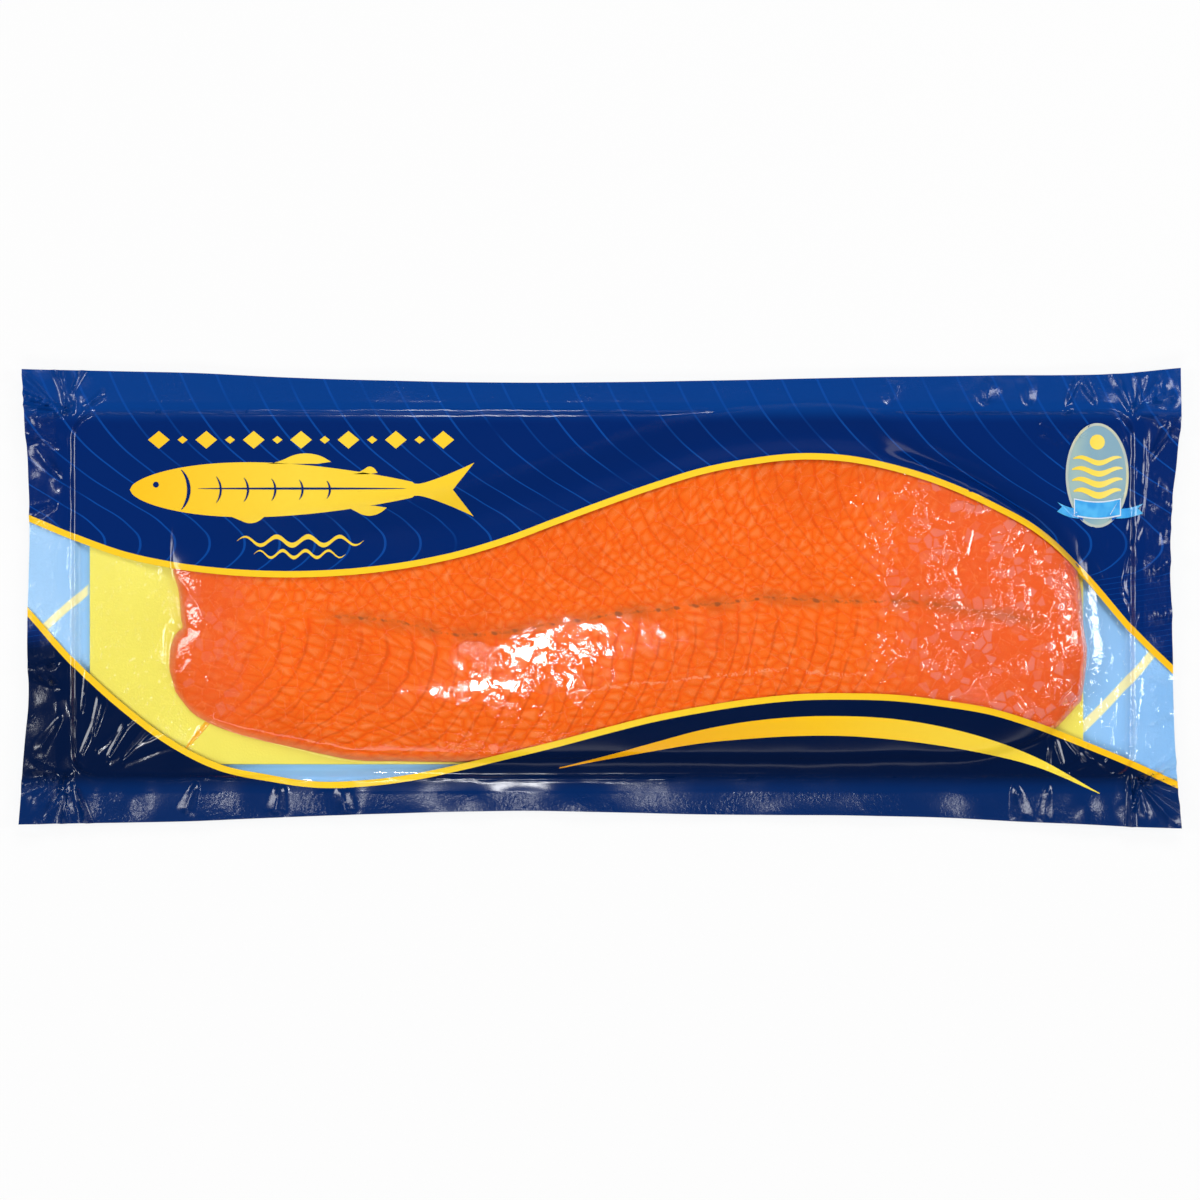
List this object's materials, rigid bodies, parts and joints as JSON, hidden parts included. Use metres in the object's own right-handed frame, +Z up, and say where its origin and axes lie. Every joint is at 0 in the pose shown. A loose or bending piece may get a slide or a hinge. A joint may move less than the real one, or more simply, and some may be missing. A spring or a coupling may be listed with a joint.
{
  "type": "pack of smoked salmon",
  "caption": "Flat vacuum pack of a whole smoked salmon side on a yellow card, under a top film with navy print and a clear wavy window.",
  "frame": {"origin": "on the surface that the pack lies on, under the middle of the pack's outline", "axes": "+X along the pack towards the broad end of the fish, +Y across it towards the wide band of print, +Z up out of the shown side"},
  "size_m": [0.6001, 0.2376, 0.0263],
  "materials": {
    "back_film": "glossy light blue plastic film",
    "board": "satin coated yellow card",
    "salmon_side": "moist orange fish flesh",
    "front_film": "glossy clear film with navy and gold print"
  },
  "bodies": {
    "root": {"back_film": "back_film", "board": "board", "salmon_side": "salmon_side", "front_film": "front_film"}
  },
  "joints": []
}
